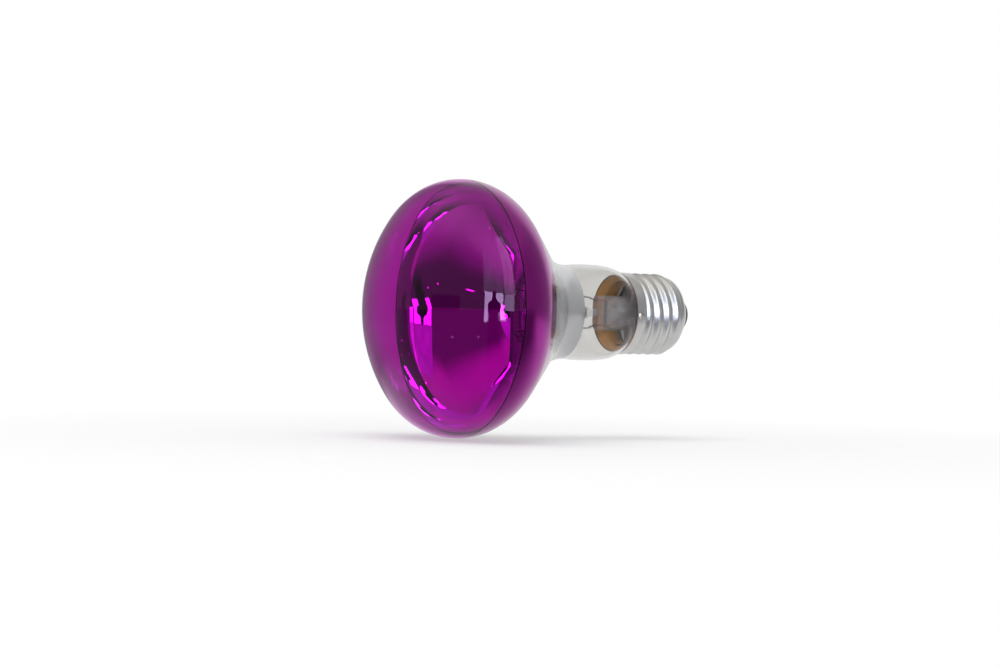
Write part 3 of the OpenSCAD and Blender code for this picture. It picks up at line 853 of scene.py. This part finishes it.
@dataclass
class Mount:
    """Leads, supports and filament inside the bulb."""

    stem: Stem
    lead_y: float = 4.0
    lead_r: float = 0.25
    support_r: float = 0.12
    supports: int = 3
    ring_r: float = 9.0
    ring_span: float = 240.0
    filament_z: float = 61.0
    coil_r: float = 0.5
    coil_wire_r: float = 0.1
    coil_turns: int = 44

    def ring(self, a: Array) -> Array:
        """Points of the filament's ring at angles a, in degrees: (r cos a, r sin a, z)."""
        a = np.radians(a)
        return placed(self.ring_r * np.cos(a), self.ring_r * np.sin(a), self.filament_z)

    def lead(self, side: int) -> Shape:
        """Nickel lead on one side: crinkled above the press, then straight to its end of the filament.

        Args:
            side: 1 for the upper lead and -1 for the lower one.

        Returns:
            The wire.
        """
        y, z = side * self.lead_y, self.stem.press_z
        a = side * self.ring_span / 2
        near, hook = self.ring(np.array([a + side * 14])), self.ring(np.array([a + side * 11]))
        foot = [
            [0, y, z - 0.58], [0, y, z + 0.5], [0.25, y + side * 0.3, z + 1.2], [-0.2, y + side * 0.45, z + 2],
            [0.2, y + side * 0.8, z + 2.8], [0, y + side * 0.9, z + 3.8],
        ]
        points = np.concatenate([
            foot, near - [0, 0, 3], near - [0, 0, 0.9], hook - [0, 0, 0.2],
            self.ring(a + side * np.arange(7, -6, -4)),
        ])
        return drawn(eased_path(points.tolist(), 8), self.lead_r, 12, np.array([1.0, 0.2, 0.1]))

    def support(self, number: int) -> Shape:
        """One molybdenum support: out of the button, up to the coil and once round it.

        Args:
            number: Which support.

        Returns:
            The wire, turned to its place round the axis.
        """
        z1 = self.stem.press_z + self.stem.rod_l + self.stem.button_l
        foot = self.stem.rod_r - 0.2
        loop_r = self.coil_r + self.coil_wire_r + self.support_r + 0.05
        t = np.radians(np.linspace(0, 330, 23))
        loop = placed(
            self.ring_r + loop_r * np.sin(t), 2 * self.coil_wire_r * (np.degrees(t) / 165 - 1),
            self.filament_z - loop_r * np.cos(t),
        )
        rise = [[foot, 0, z1 - 1.98], [foot, 0, z1 + 1],
                [self.ring_r - 0.4, 0, self.filament_z - loop_r - 1]]
        path = np.concatenate([rise, loop])
        wire = drawn(path, self.support_r, 8, np.array([0.0, 1.0, 0.02]))
        a = radians(self.ring_span * ((number + 1) / (self.supports + 1) - 0.5))
        turn = np.array([[cos(a), sin(a), 0], [-sin(a), cos(a), 0], [0, 0, 1]])
        wire.points = wire.points @ turn
        return wire

    def coil(self) -> Shape:
        """The filament: a helix carried along its part of the ring.

        At turn t the wire lies at the ring's point for its angle, plus the coil's radius times cos t
        outwards and sin t along the axis.

        Returns:
            The wire.
        """
        n = self.coil_turns * 20
        part = np.linspace(-0.5, 0.5, n + 1)
        a, t = np.radians(self.ring_span * part), np.linspace(0, 2 * pi * self.coil_turns, n + 1)
        along = placed(-np.sin(a), np.cos(a), 0.0)
        turn = placed(np.cos(t) * np.cos(a), np.cos(t) * np.sin(a), np.sin(t))
        return drawn(self.ring(self.ring_span * part) + self.coil_r * turn, self.coil_wire_r, 6, along)

    def build(self, bench: Bench) -> None:
        """Makes the leads, supports and coil, and dresses the seal wires."""
        for name, side in (("upper", 1), ("lower", -1)):
            bench.piece(f"lead_{name}", self.lead(side), [Finish.NICKEL], (f"inner_lead_{name}",))
            bench.dress(f"seal_wire_{name}", Finish.SEAL)
        wires = self.support(0)
        for number in range(1, self.supports):
            wires = wires.joined(self.support(number))
        bench.piece("supports_wire", wires, [Finish.MOLYBDENUM], ("filament_supports",))
        bench.piece("filament_coil", self.coil(), [Finish.TUNGSTEN], ("filament",))


@dataclass
class Cap:
    """Rolled cap with its cement, insulator, contact, weld and outer leads."""

    outline: Outline
    stem: Stem
    rim_z: float = 26.9
    wall: float = 0.3
    pitch: float = 3.629
    crest_r: float = 13.1
    root_r: float = 12.15
    knuckle_r: float = 1.025
    crest_z: float = 21.9
    low_z: float = 9.3
    high_z: float = 23.9
    run_out: float = 1.2
    seam: float = 0.06
    turn_r: float = 2.8
    turn_a: float = 50.0
    hole_r: float = 8.5
    collar_r: float = 4.9
    collar_h: float = 0.9
    plate_r: float = 4.5
    plate_t: float = 0.4
    plate_hole_r: float = 1.0
    solder_r: float = 3.0
    solder_h: float = 1.1
    land_r: float = 1.2
    weld_r: float = 1.05
    weld_h: float = 0.35
    weld_z: float = 25.6
    weld_a: float = -3.3
    wire_r: float = 0.15
    columns: int = 160

    def knuckle(self, u: Array, d: float) -> Array:
        """Radius of the thread u from a crest, d inside the skin: crest arc, root arc, and a straight flank."""
        depth = self.crest_r - self.root_r
        v0, v1 = self.pitch / 2, 2 * self.knuckle_r - depth
        flank_a = atan2(v0, v1) - acos(2 * self.knuckle_r / hypot(v0, v1))
        top, hollow = self.knuckle_r - d, self.knuckle_r + d
        v = self.pitch / 2 - u
        start = self.crest_r - d - top + top * cos(flank_a)
        crest = self.crest_r - d - top + np.sqrt(np.maximum(top**2 - u**2, 0))
        root = self.root_r - d + hollow - np.sqrt(np.maximum(hollow**2 - v**2, 0))
        flank = start - (u - top * sin(flank_a)) * tan(flank_a)
        return np.select([u < top * sin(flank_a), v < hollow * sin(flank_a)], [crest, root], flank)

    def thread(self, z: Array, a: Array, d: float) -> Array:
        """Radius of the shell at heights z and angles a.

        The knuckle repeats with the pitch along z and rises by one pitch a turn. It rises from the plain
        end and fades into the skirt by a smooth step.

        Args:
            z: Heights.
            a: Angles, in degrees.
            d: Distance inside the skin.

        Returns:
            Radii.
        """
        w = z - self.crest_z - self.pitch * a / 360
        u = np.abs(w - self.pitch * np.round(w / self.pitch))
        depth = self.crest_r - self.root_r
        rise = (self.knuckle(u, d) - self.root_r + d) / depth * eased((z - self.low_z) / self.run_out)
        return self.root_r - d + depth * (1 - (1 - rise) * eased((self.high_z - z) / self.run_out))

    def end_line(self, d: float) -> Array:
        """Line of the shell's turned end, d inside its skin, from the thread to the hole."""
        line = arc((self.root_r + self.seam - self.turn_r, self.low_z), self.turn_r - d, 0, -self.turn_a, 12)
        run = (line[-1, 0] - self.hole_r) / sin(radians(self.turn_a))
        return np.concatenate([line, [[self.hole_r, line[-1, 1] - run * cos(radians(self.turn_a))]]])

    def shell(self) -> Shape:
        """The rolled shell: skirt, thread and turned end outside, then the same inside."""
        z = np.linspace(self.rim_z - 0.1, self.low_z, 150)
        a = np.linspace(0, 2 * pi, self.columns, endpoint=False)[None]
        rows = []
        for d, way in ((0.0, 1), (self.wall, -1)):
            skin = self.thread(z[:, None], np.degrees(a), d)
            skirt = self.crest_r - d + self.seam * (1 if d == 0 else -1)
            skin = skin + (skirt - skin) * eased((z[:, None] - self.high_z + 0.2) / 0.5)
            end = self.end_line(d)[1:]
            r = np.concatenate([skin, np.repeat(end[:, :1], self.columns, axis=1)])
            high = np.concatenate([z, end[:, 1]])[:, None]
            rows.append(placed(r * np.cos(a), r * np.sin(a), high)[::way])
        lip_r = self.crest_r - self.wall / 2
        lip = placed(lip_r * np.cos(a), lip_r * np.sin(a), self.rim_z)
        return Shape.of_grid(np.concatenate([lip, rows[0], rows[1]]), closed=True)

    def cement(self) -> Shape:
        """Ring of cement between neck and skirt, slightly lumpy on its face and inner side."""
        seat = 0.02
        out_r = self.crest_r - self.wall - self.seam - seat
        low_r = self.root_r - self.wall - 5 * seat
        low = self.outline.seal_z + 0.8
        z = np.linspace(low, self.rim_z - seat, 40)
        inner = placed(self.outline.radius(z) + seat, z)
        face = np.linspace(inner[-1, 0] + 0.05, out_r - 0.05, 8)
        loop = np.concatenate([
            inner, placed(face, self.rim_z - seat),
            [[out_r, self.rim_z - 0.1], [out_r, self.high_z + 0.5], [low_r, self.high_z - 0.5], [low_r, low]],
        ])
        ring = revolved(loop, 144, closed=True)
        lumps = ripple(ring.points, 1.3, 3) * 0.08
        near_face = ring.points[:, 2] > self.rim_z - 0.3
        ring.points[:, 2] -= np.where(near_face, 0.08 + np.abs(lumps), 0)
        return ring

    def end_lathe(self) -> Array:
        """Section of the insulator: bed in the shell's end, collar under the plate, and hollow inside."""
        seat, wall = 0.02, self.wall + 2 * self.seam
        bed, lip = self.end_line(wall + seat), self.end_line(0)
        bed[-1, 0] = lip[-1, 0] = self.hole_r - seat
        top = self.solder_h + self.plate_t
        cone = top + self.collar_h
        start = lip[-1]
        swell = np.linspace(0, 1, 14)[1:, None]
        slope = start + swell * (np.array([self.collar_r + 0.5, cone + 0.1]) - start)
        slope[:, 1] -= 0.12 * np.sin(pi * swell[:, 0])
        return np.concatenate([
            bed, lip[-1:], slope,
            arc((self.collar_r + 0.35, cone - 0.25), 0.35, 90, 180, 5),
            [[self.collar_r, top + 0.12]], arc((self.collar_r - 0.12, top + 0.12), 0.12, 0, -90, 3)[1:],
            [[1.2, top], [1.2, cone + 3], [3.6, cone + 3.3], [self.root_r - wall - 2.2, self.low_z]],
        ])

    def plate(self) -> Array:
        """Section of the contact plate, with its rolled edge."""
        r, half = self.plate_r, self.plate_t / 2
        z = self.solder_h
        return np.concatenate([
            [[self.plate_hole_r, z + self.plate_t], [self.plate_hole_r, z]],
            arc((r - half, z + half), half, -90, 0, 6),
            [[r, z + self.plate_t]],
        ])

    def solder(self) -> Shape:
        """Solder on the plate: a quarter ellipse turned about the axis, a little uneven below its land."""
        t = np.radians(np.linspace(0, 90, 14))
        run = self.solder_r - self.land_r
        dome = placed(self.land_r + run * np.sin(t), self.solder_h * (1 - np.cos(t)))
        plug, bore, top = self.plate_hole_r - 0.02, self.wire_r + 0.02, self.solder_h + self.plate_t
        loop = np.concatenate([
            [[0, 0], [self.land_r * 0.5, 0]], dome,
            [[plug, self.solder_h], [plug, top], [bore, top], [bore, self.solder_h / 2],
             [0, self.solder_h / 2 - 0.02]],
        ])
        bead = revolved(loop, 64)
        side = (bead.points[:, 2] > 0.02) & (bead.points[:, 2] < self.solder_h - 0.02)
        lumps = ripple(bead.points, 2.4, 11)
        bead.points[:, :2] *= 1 - np.where(side, 0.05 * (1 + lumps), 0)[:, None]
        return bead

    def weld(self) -> Shape:
        """Weld bead on the skirt: a lumpy half sphere whose foot follows the skirt.

        A point at angle t from the foot and angle b round the bead lies at the bead's radius times cos t
        along the skirt, and its height times sin t out of it, both changed by a ripple.

        Returns:
            The bead, turned to its place.
        """
        t = np.radians(np.linspace(-40, 90, 22))[:, None]
        b = np.linspace(0, 2 * pi, 40, endpoint=False)[None]
        flat = placed(np.cos(b), np.sin(b), np.sin(t))
        lump = 1 + 0.10 * ripple(flat, 1.6, 5)
        r = self.weld_r * np.cos(np.maximum(t, 0)) ** 0.8 * lump
        r = np.where(t > radians(89.9), 0, np.minimum(r, self.weld_r))
        y, z = r * np.cos(b), r * np.sin(b)
        skirt_r = self.crest_r + self.seam
        out = np.sqrt(np.maximum((skirt_r + 0.02) ** 2 - y**2, 0))
        rise = self.weld_h * np.sin(np.maximum(t, 0)) * (0.82 + 0.12 * ripple(flat, 1.1, 8))
        rise = np.where(t > radians(89.9), rise.mean(axis=1, keepdims=True), rise)
        sink = 0.02 * np.minimum(t / radians(40), 0)
        x = out + np.minimum(rise, self.weld_h) + sink
        inner = t < 0
        shrink = np.where(inner, 1 + t / radians(40), 1)
        y, z = y * shrink, z * shrink
        x = np.where(inner, np.sqrt((skirt_r + 0.02) ** 2 - y**2), x)
        a = radians(self.weld_a)
        return Shape.of_grid(placed(x * cos(a) - y * sin(a), x * sin(a) + y * cos(a), self.weld_z + z))

    def wires(self) -> dict[str, tuple[list[list[float]], Finish, str]]:
        """Paths of the outer leads, by CAD node, with each one's finish and slot."""
        s, o, y = self.stem, self.outline, 4.0
        a = radians(self.weld_a)

        def out(r: float, z: float) -> list[float]:
            """Point on the weld's side of the axis."""
            return [r * cos(a), r * sin(a), z]

        low = o.seal_z - s.wall - 1
        side_r = (o.seal_r + self.root_r - self.wall) / 2
        hook_r = self.crest_r - self.wall - self.seam - 0.5
        heel_z = 20.6
        top = s.root_z - 0.42
        fuse_y, fuse_z = y + 0.9, o.seal_z - s.wall - 1.8
        return {
            "side_lead": ([
                [0, -y, top], [0, -y, o.seal_z + 1], [1.2, -y, low], [5, -y + 0.5, low - 0.4],
                out(o.seal_r - 1.4, low - 0.2), out(side_r - 0.25, low + 0.4), out(side_r, o.seal_z - 0.4),
                out(side_r, heel_z), out(hook_r - 0.1, self.weld_z - 0.6), out(hook_r + 0.3, self.weld_z),
                out(self.crest_r + 0.05, self.weld_z),
            ], Finish.COPPER, "copper"),
            "contact_lead": ([
                [0, y, top], [0, y, o.seal_z + 1], [0, fuse_y - 0.2, fuse_z + 2], [0, fuse_y, fuse_z + 0.9],
                [0, fuse_y, fuse_z],
            ], Finish.COPPER, "copper"),
        }

    def build(self, bench: Bench) -> None:
        """Makes the cap's pieces and dresses the wires that stay."""
        bench.piece("cap_shell_rolled", self.shell(), [Finish.ALUMINIUM], ("cap_shell",), 60)
        bench.piece("cap_cement_ring", self.cement(), [Finish.CEMENT], ("cap_cement",))
        bench.piece(
            "cap_insulator_glass", revolved(self.end_lathe(), 96, closed=True), [Finish.INSULATOR],
            ("cap_insulator",),
        )
        bench.piece(
            "contact_plate_brass", revolved(self.plate(), 96, closed=True), [Finish.BRASS],
            ("contact_plate",),
        )
        bench.piece("contact_solder_bead", self.solder(), [Finish.SOLDER], ("contact_solder",))
        bench.piece("side_weld_bead", self.weld(), [Finish.WELD], ("side_weld",))
        for node, (points, finish, slot) in self.wires().items():
            wire = drawn(eased_path(points, 6), self.wire_r, 10, np.array([0.31, 0.53, 0.79]))
            bench.piece(f"{node}_wire", wire, [finish], (node,))
        bench.dress("fuse_wire", Finish.TUNGSTEN)
        bench.dress("contact_tail", Finish.COPPER)


# The studio


@dataclass
class Card:
    """A curved card round the bulb that only mirrors and glass show.

    The widths are shares of its full turn, at equal steps from its foot to its top.
    """

    name: str
    turn: Pair
    rise: Pair
    distance: float
    light: Colour
    unevenness: float
    widths: tuple[float, ...] = (1.0, 1.0)
    columns: int = 33
    rows: int = 17

    def build(self) -> None:
        """Makes the card.

        The point at turn a and rise e lies at the distance along (sin a cos e, -cos a cos e, sin e).
        """
        part = np.linspace(-0.5, 0.5, self.columns)[:, None]
        share = np.interp(np.linspace(0, 1, self.rows), np.linspace(0, 1, len(self.widths)), self.widths)[None]
        a = np.radians(sum(self.turn) / 2 + (self.turn[1] - self.turn[0]) * part * share)
        e = np.radians(np.linspace(*self.rise, self.rows))[None]
        away = placed(np.sin(a) * np.cos(e), -np.cos(a) * np.cos(e), np.sin(e))
        points = (np.array(MIDDLE) + self.distance * away).reshape(-1, 3)
        index = np.arange(len(points)).reshape(self.columns, self.rows)
        faces = placed(index[:-1, :-1], index[1:, :-1], index[1:, 1:], index[:-1, 1:]).reshape(-1, 4)
        mesh = bpy.data.meshes.new(self.name)
        mesh.from_pydata(points.tolist(), [], faces.tolist())
        t = Tree(self.name)
        dim = tuple(c * (1 - self.unevenness) for c in self.light)
        tone = t.blend(t.span(t.noise(0.004, 3, (1, 1, 0.3)), 0.35, 0.65), dim, self.light)
        mesh.materials.append(t.finished(t.glow(tone)))
        made = linked(self.name, mesh)
        made.visible_camera = made.visible_diffuse = made.visible_shadow = False


@dataclass
class Studio:
    """Pale floor, white surround, cards, a soft lamp and the camera.

    Bearings are in degrees from -Y towards +X, and the floor's distances from the bulb in mm.
    """

    floor_z: float = -0.0403
    lens: float = 84.08
    camera_at: Triple = (0.6202, -0.4514, -0.0073)
    camera_turn: float = 58.41
    camera_roll: float = 1.238
    pane: Colour = (9.6, 10.2, 12.6)
    # Painted shade on the floor as mirrors show it, and black for the figure and its painted shadow there.
    painted_floor_shade: Colour = (0.13, 0.12, 0.14)
    black: Colour = (0.012, 0.012, 0.014)
    near: Colour = (0.80, 0.80, 0.80)
    towards: Triple = (0.81, -0.588, 0.0)
    plain_span: Pair = (50, 260)
    plain_part: Pair = (0.45, 1.0)
    near_span: Pair = (60, 130)
    middle_level: float = 0.85
    middle_changes: tuple[Triple, ...] = ((-118, -106, -0.50), (100, 140, 0.50))
    far_span: Pair = (160, 900)
    painted_shade_span: Pair = (0, 62)
    # Where mirrors show the window's light painted on the floor, and the dark figure painted there as shadow.
    window_edges: Edges = (39, 41, 76, 78)
    window_span: Pair = (250, 300)
    figure_edges: Edges = (45, 49, 64, 69)
    figure_span: Pair = (50, 110)
    wall_level: float = 0.35
    wall_changes: tuple[Triple, ...] = ((-176, -158, 0.47), (-118, -106, -0.52), (140, 178, 0.05))
    ceiling_span: Pair = (0.55, 0.80)
    overhead: tuple[Colour, Colour] = ((0.50, 0.49, 0.47), (1.06, 1.01, 0.95))
    lit_level: float = 0.5
    lamp_at: Triple = (0.1, -0.3, 1.2)
    lamp_size: float = 1.2
    lamp_watts: float = 13.0

    def build(self) -> None:
        """Sets the colour view, then makes the camera, floor, cards, surround and lamp."""
        bpy.context.scene.view_settings.view_transform = "Standard"
        self.camera()
        self.floor()
        self.cards()
        self.surround()
        self.lamp()

    def camera(self) -> None:
        """Camera level with the lamp's axis, looking across the dome towards the cap."""
        data = bpy.data.cameras.new("camera")
        data.lens, data.sensor_width = self.lens, 36.0
        data.clip_start, data.clip_end = 0.01, 50.0
        made = linked("camera", data)
        made.matrix_world = (
            Matrix.Translation(self.camera_at)
            @ Matrix.Rotation(radians(self.camera_turn), 4, "Z")
            @ Matrix.Rotation(pi / 2, 4, "X")
            @ Matrix.Rotation(radians(self.camera_roll), 4, "Z")
        )
        bpy.context.scene.camera = made

    def floor_paint(self) -> bpy.types.Material:
        """Pale matt floor: near the bulb it takes the light and the shadow, and further off it is plain white.

        Mirrors and glass show it with painted shade darker towards the camera, a painted pool of the window's
        light and a dark figure's painted shadow on it, and further off as the wall behind it.

        Returns:
            The material.
        """
        t = Tree("pale floor")
        matt = t.surface(Base_Color=t.blend(t.noise(0.01, 2), (0.80, 0.80, 0.80), (0.84, 0.84, 0.84)),
                         Roughness=0.9, Specular_IOR_Level=0.1)
        from_bulb = t.vector("SUBTRACT", t.place, tuple(c / MM for c in MIDDLE))
        far = t.vector("LENGTH", from_bulb, output="Value")
        turn = t.bearing(from_bulb)
        plain = t.span(far, *self.plain_span, *self.plain_part)
        pale = t.mixed(plain, matt, t.glow((1, 1, 1), t.ray("Camera")))
        middle = t.steps(turn, self.middle_level, self.middle_changes)
        ground = t.blend(t.span(far, *self.near_span), self.near, middle)
        ground = t.blend(t.span(far, *self.far_span), ground, self.walls(t, turn))
        # Painted shade: mirrors show the floor darker towards the camera.
        ground = t.blend(t.span(t.along(from_bulb, self.towards), *self.painted_shade_span), ground, self.painted_floor_shade)
        # Painted light of the window and a painted shadow of the figure on the floor.
        for edges, span, colour in (
            (self.window_edges, self.window_span, self.pane),
            (self.figure_edges, self.figure_span, self.black),
        ):
            part = t.math("MULTIPLY", t.between(turn, edges), t.span(far, *span))
            ground = t.blend(part, ground, colour)
        return t.finished(t.mixed(t.mirrored(), pale, t.glow(ground)))

    def walls(self, t: Tree, turn: Socket) -> Socket:
        """How bright the walls are by their bearing: white behind the bulb, and dim elsewhere."""
        return t.steps(turn, self.wall_level, self.wall_changes)

    def floor(self) -> None:
        """Wide pale floor that the bulb's equator touches."""
        s, z = 3.0, self.floor_z
        mesh = bpy.data.meshes.new("floor")
        mesh.from_pydata([(-s, -s, z), (s, -s, z), (s, s, z), (-s, s, z)], [], [(0, 1, 2, 3)])
        mesh.materials.append(self.floor_paint())
        linked("floor", mesh)

    def cards(self) -> None:
        """Cards round the bulb that only it mirrors: a bright window and what stands before it."""
        for card in (
            Card("window", (40, 76), (-1.4, 13), 1.60, self.pane, 0.1),
            Card("side pane", (78, 97), (-1.4, 12), 1.60, (4.6, 4.9, 6.0), 0.2),
            Card("side blind", (78, 100), (12, 62), 1.62, (2.7, 2.8, 3.1), 0.3),
            Card("blind", (38, 77), (13, 60), 1.62, (1.34, 1.40, 1.60), 0.25),
            Card("window bar", (75, 76.5), (-1.4, 13), 1.55, (0.10, 0.10, 0.11), 0.1),
            Card("figure", (46, 70), (-2.4, 14), 0.95, self.black, 0.1, (1, 1, 1, 0.9, 0.35, 0.3, 0.3, 0.2)),
            Card("shelf", (-10, 12), (-1.4, 8), 1.50, (0.10, 0.07, 0.07), 0.4),
            Card("lamp point", (63.5, 67), (69.2, 70.8), 1.50, (16.0, 14.5, 12.5), 0.1),
            Card("left spark", (13.3, 14.7), (-15.6, -14.6), 0.14, (9.0, 8.5, 9.0), 0.1),
            Card("right spark", (34.3, 35.7), (-16.6, -15.6), 0.14, (9.0, 8.5, 9.0), 0.1),
        ):
            card.build()

    def surround(self) -> None:
        """White surround for the camera, a dim room for mirrors, and a soft level that lights."""
        t = Tree("surround", surround=True)
        ceiling = t.blend(t.span(t.along(t.place, (0.5, -0.866, 0)), -0.4, 0.4), *self.overhead)
        height = t.along(t.place, (0, 0, 1))
        room = t.blend(t.span(height, *self.ceiling_span), self.walls(t, t.bearing(t.place)), ceiling)
        unseen = t.mixed(t.mirrored(), t.glow((1, 1, 1), self.lit_level), t.glow(room))
        bpy.context.scene.world = t.finished(t.mixed(t.ray("Camera"), unseen, t.glow((1, 1, 1))))

    def lamp(self) -> None:
        """Large soft lamp above, which looks at the bulb and which nothing mirrors."""
        data = bpy.data.lights.new("top lamp", "AREA")
        data.shape, data.size, data.size_y = "RECTANGLE", self.lamp_size, self.lamp_size
        data.energy = self.lamp_watts
        made = linked("top lamp", data)
        made.location = self.lamp_at
        aim = Vector(MIDDLE) - Vector(self.lamp_at)
        made.rotation_euler = aim.to_track_quat("-Z", "Y").to_euler()
        made.visible_camera = made.visible_glossy = made.visible_transmission = False


def main() -> None:
    """Builds the lamp and the studio."""
    logging.basicConfig(level=logging.INFO, format="%(name)s: %(message)s")
    bench = Bench()
    outline = Outline()
    stem = Stem(outline)
    Envelope(outline).build(bench)
    stem.build(bench)
    Mount(stem).build(bench)
    Cap(outline, stem).build(bench)
    Studio().build()


if __name__ == "__main__":
    main()
